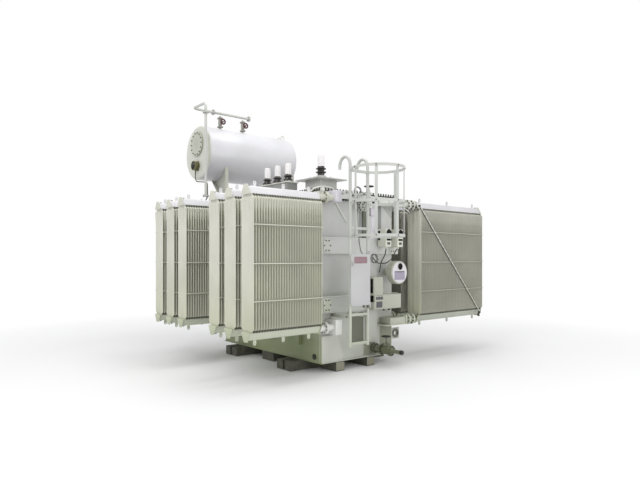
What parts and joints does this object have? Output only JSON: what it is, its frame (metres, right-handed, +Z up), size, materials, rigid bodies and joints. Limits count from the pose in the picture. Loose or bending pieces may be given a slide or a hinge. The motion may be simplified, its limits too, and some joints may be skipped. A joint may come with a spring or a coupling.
{
  "type": "oil-filled power transformer with panel radiators and conservator",
  "caption": "Oil-filled power transformer: ribbed tank on a skid frame, finned panel radiators on both sides, raised conservator drum, cover bushings and a caged ladder.",
  "frame": {"origin": "on the ground under the middle of the tank, at the underside of the middle skid beam", "axes": "+Z up, -Y towards the ladder side, +Y towards the conservator, +X along the radiator headers towards the long radiators"},
  "size_m": [5.508, 5.2381, 4.9253],
  "materials": {
    "grey_enamel": "satin light grey enamel",
    "beam_paint": "matt dark grey-green paint",
    "porcelain_black": "dark glazed insulator under a pale cap",
    "wheel_maroon": "matt dark red paint",
    "wheel_black": "matt black paint",
    "dial_dark": "dark glazed dial"
  },
  "bodies": {
    "transformer": {"skid_frame": "beam_paint", "tank": "grey_enamel", "tank_cover": "grey_enamel", "radiator_left_1": "grey_enamel", "radiator_left_2": "grey_enamel", "radiator_left_3": "grey_enamel", "radiator_left_4": "grey_enamel", "radiator_left_5": "grey_enamel", "radiator_left_6": "grey_enamel", "radiator_right_1": "grey_enamel", "radiator_right_2": "grey_enamel", "radiator_right_3": "grey_enamel", "radiator_right_4": "grey_enamel", "left_lower_duct": "grey_enamel", "left_upper_duct": "grey_enamel", "right_lower_duct": "grey_enamel", "right_upper_duct": "grey_enamel", "conservator": "grey_enamel", "conservator_end_cover": "grey_enamel", "oil_level_gauge": "dial_dark", "conservator_saddle_1": "grey_enamel", "conservator_saddle_2": "grey_enamel", "filling_valve_1": "grey_enamel", "filling_valve_2": "grey_enamel", "air_pipe": "grey_enamel", "relay_pipe": "grey_enamel", "large_bushing_turret": "grey_enamel", "large_bushing": "porcelain_black", "small_bushing_turret": "grey_enamel", "small_bushing_1": "porcelain_black", "small_bushing_2": "porcelain_black", "small_bushing_3": "porcelain_black", "ladder": "grey_enamel", "ladder_cage": "grey_enamel", "temperature_indicator_1": "grey_enamel", "temperature_indicator_2": "grey_enamel", "oil_monitor": "grey_enamel", "terminal_box": "grey_enamel", "drain_valve": "grey_enamel", "upper_valve": "grey_enamel"},
    "guard": {"ladder_guard": "grey_enamel"},
    "drain_valve_handwheel": {"drain_valve_wheel": "wheel_black"},
    "upper_valve_handwheel": {"upper_valve_wheel": "wheel_black"},
    "filling_valve_handwheel_1": {"filling_valve_wheel_1": "wheel_maroon"},
    "filling_valve_handwheel_2": {"filling_valve_wheel_2": "wheel_maroon"}
  },
  "joints": [
    {"name": "guard_hinge", "type": "hinge", "parent": "transformer", "child": "guard", "pos_m": [-0.173, -1.956, 1.1], "axis": [0, 0, 1], "range_deg": [0, 110]},
    {"name": "drain_valve_spindle", "type": "hinge", "parent": "transformer", "child": "drain_valve_handwheel", "pos_m": [0.38, -1.785, 0.52], "axis": [0, 0, 1], "range_deg": [0, 720]},
    {"name": "upper_valve_spindle", "type": "hinge", "parent": "transformer", "child": "upper_valve_handwheel", "pos_m": [0.014, -1.74, 3.04], "axis": [0, 0, 1], "range_deg": [0, 720]},
    {"name": "filling_valve_spindle_1", "type": "hinge", "parent": "transformer", "child": "filling_valve_handwheel_1", "pos_m": [-0.7295, 1.8207, 4.7003], "axis": [0, -1, 0], "range_deg": [0, 720]},
    {"name": "filling_valve_spindle_2", "type": "hinge", "parent": "transformer", "child": "filling_valve_handwheel_2", "pos_m": [-0.1805, 1.8207, 4.7003], "axis": [0, -1, 0], "range_deg": [0, 720]}
  ]
}
